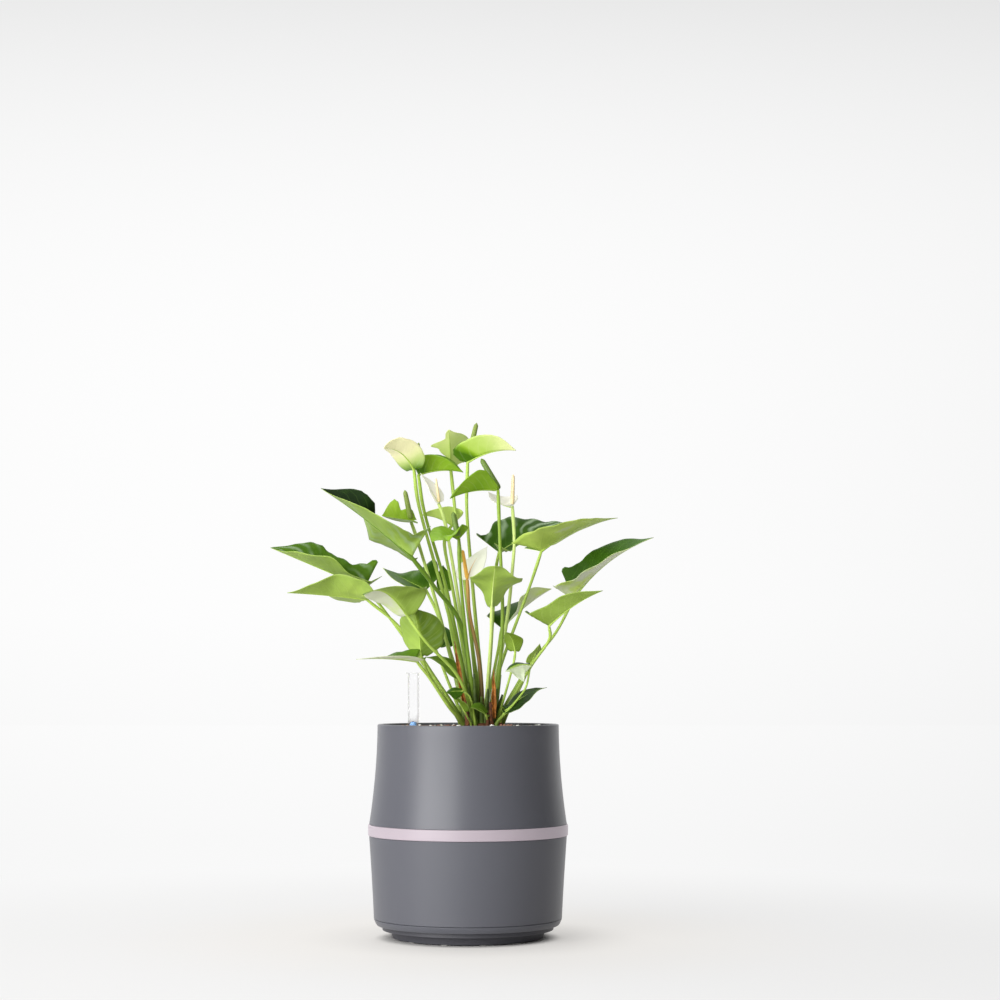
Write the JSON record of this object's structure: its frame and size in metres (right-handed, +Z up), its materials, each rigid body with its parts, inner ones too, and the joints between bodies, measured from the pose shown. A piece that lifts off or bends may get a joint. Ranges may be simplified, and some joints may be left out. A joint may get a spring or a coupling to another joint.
{
  "type": "potted anthurium",
  "caption": "Flamingo flower with heart-shaped leaves and young spathes on long stalks, growing in a tall round self-watering planter with a water gauge.",
  "frame": {"origin": "centre of the foot of the pot on the surface it stands on, under the axis of the pot", "axes": "+Z up along the axis of the pot, -Y towards the front, +X to the right seen from the front"},
  "size_m": [0.425, 0.2482, 0.5714],
  "materials": {
    "pot_shell": "fine matte dark grey",
    "trim_band": "satin pale pinkish lilac",
    "foot": "matte dark grey with pale pads",
    "liner": "matte black",
    "growing_mix": "loose damp granules and a few pale pebbles",
    "crown": "fibrous brown",
    "clear_tube": "clear",
    "float": "blue",
    "leaf": "glossy dark green above, lighter and matte below",
    "spathe_green": "satin yellow-green",
    "spathe_cream": "satin cream-green",
    "spathe_white": "satin white",
    "spadix_green": "fine knobbly green",
    "spadix_cream": "fine knobbly cream to orange",
    "sheath": "dry papery orange-brown"
  },
  "bodies": {
    "root": {"base_foot": "foot", "reservoir_base": "pot_shell", "reservoir_shell": "pot_shell", "trim_band": "trim_band", "planter_shell": "pot_shell", "grow_liner": "liner", "substrate": "growing_mix", "root_crown": "crown", "gauge_tube": "clear_tube", "gauge_float": "float", "leaf_01": "leaf", "leaf_02": "leaf", "leaf_03": "leaf", "leaf_04": "leaf", "leaf_05": "leaf", "leaf_06": "leaf", "leaf_07": "leaf", "leaf_08": "leaf", "leaf_09": "leaf", "leaf_10": "leaf", "leaf_11": "leaf", "leaf_12": "leaf", "leaf_13": "leaf", "leaf_14": "leaf", "leaf_15": "leaf", "leaf_16": "leaf", "leaf_17": "leaf", "leaf_18": "leaf", "leaf_19": "leaf", "leaf_20": "leaf", "leaf_21": "leaf", "leaf_22": "leaf", "leaf_23": "leaf", "flower_01": "spathe_cream", "flower_02": "spathe_green", "flower_03": "spathe_green", "flower_04": "spathe_green", "flower_05": "spathe_green", "flower_06": "spathe_white", "flower_07": "spathe_white", "flower_08": "spathe_green", "flower_09": "spathe_green", "flower_10": "spathe_green", "flower_11": "spathe_white", "spadix_01": "spadix_green", "spadix_04": "spadix_green", "spadix_05": "spadix_green", "spadix_06": "spadix_cream", "spadix_07": "spadix_cream", "spadix_08": "spadix_green", "spadix_10": "spadix_green", "spadix_11": "spadix_cream", "sheath_01": "sheath", "sheath_02": "sheath"}
  },
  "joints": []
}
